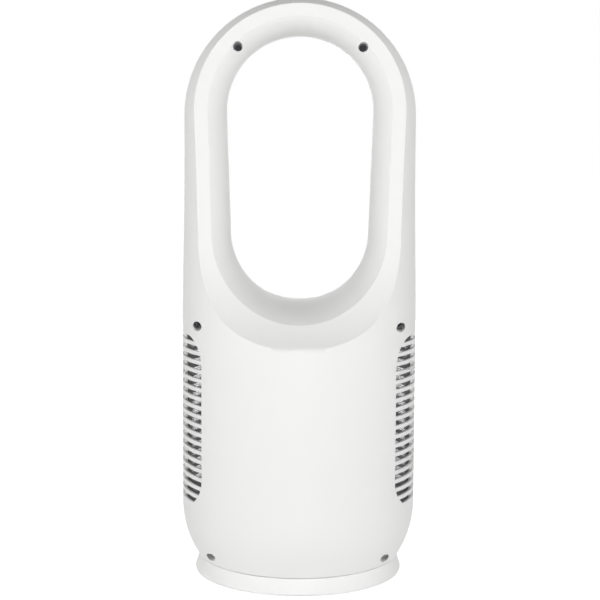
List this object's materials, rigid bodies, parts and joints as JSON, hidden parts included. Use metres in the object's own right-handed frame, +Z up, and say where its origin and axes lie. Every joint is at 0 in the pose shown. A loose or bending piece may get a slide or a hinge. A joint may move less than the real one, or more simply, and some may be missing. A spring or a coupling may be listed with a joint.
{
  "type": "floor fan",
  "caption": "White bladeless tower fan: a round body on a low swivel base carries a tall loop that blows air from a slit round its opening.",
  "frame": {"origin": "on the floor, under the middle of the fan", "axes": "+Z up, +X to the left of the rear view, -Y is the front that the air leaves to, +Y is the back with the screw wells"},
  "size_m": [0.2452, 0.2452, 0.6],
  "materials": {
    "white_shell": "satin moulded white ABS with a fine texture",
    "inner_plastic": "plain light grey ABS",
    "dark_mesh": "black nylon dust mesh",
    "rubber": "matte black rubber",
    "screw_steel": "black zinc plated steel",
    "steel": "turned steel",
    "spring_steel": "blackened spring steel",
    "acetal": "natural acetal",
    "motor_metal": "die-cast motor can",
    "board": "green solder mask",
    "smoked_window": "polished smoked window",
    "key_plastic": "polished white keys"
  },
  "bodies": {
    "base": {"base_ring": "white_shell", "base_plate": "white_shell", "rubber_feet": "rubber", "base_screws": "screw_steel", "cord_gland": "rubber", "pivot_post": "steel", "pivot_clip": "spring_steel", "glide_ring": "acetal", "gear_sector": "acetal"},
    "tower": {"rear_shell": "white_shell", "front_shell": "white_shell", "nozzle_ring": "white_shell", "turntable": "inner_plastic", "shell_screws": "screw_steel", "turntable_screws": "screw_steel", "intake_mesh_left": "dark_mesh", "intake_mesh_right": "dark_mesh", "fan_housing": "inner_plastic", "stator": "inner_plastic", "motor_sleeve": "rubber", "fan_motor": "motor_metal", "motor_cap": "inner_plastic", "power_board": "board", "swing_motor": "steel", "control_board": "board", "board_screws": "screw_steel", "display_window": "smoked_window"},
    "rotor": {"motor_shaft": "steel", "impeller": "inner_plastic"},
    "pinion": {"swing_pinion": "acetal"},
    "power_button": {"power_key": "key_plastic"},
    "speed_button": {"speed_key": "key_plastic"},
    "timer_button": {"timer_key": "key_plastic"},
    "swing_button": {"swing_key": "key_plastic"}
  },
  "joints": [
    {"name": "body_swing", "type": "hinge", "parent": "base", "child": "tower", "pos_m": [0, 0, 0.0195], "axis": [0, 0, 1], "range_deg": [-45, 45]},
    {"name": "impeller_spin", "type": "hinge", "parent": "tower", "child": "rotor", "pos_m": [0, 0, 0.2], "axis": [0, 0, 1], "continuous": true},
    {"name": "pinion_spin", "type": "hinge", "parent": "tower", "child": "pinion", "pos_m": [0, -0.0375, 0.0095], "axis": [0, 0, 1], "range_deg": [-230, 230]},
    {"name": "power_press", "type": "slide", "parent": "tower", "child": "power_button", "axis": [0, 1, 0], "range_m": [0, 0.0008], "stiffness_N_per_m": 1500},
    {"name": "speed_press", "type": "slide", "parent": "tower", "child": "speed_button", "axis": [0, 1, 0], "range_m": [0, 0.0008], "stiffness_N_per_m": 1500},
    {"name": "timer_press", "type": "slide", "parent": "tower", "child": "timer_button", "axis": [0, 1, 0], "range_m": [0, 0.0008], "stiffness_N_per_m": 1500},
    {"name": "swing_press", "type": "slide", "parent": "tower", "child": "swing_button", "axis": [0, 1, 0], "range_m": [0, 0.0008], "stiffness_N_per_m": 1500}
  ],
  "couplings": [
    {"joint": "pinion_spin", "follows": "body_swing", "ratio": -5}
  ]
}
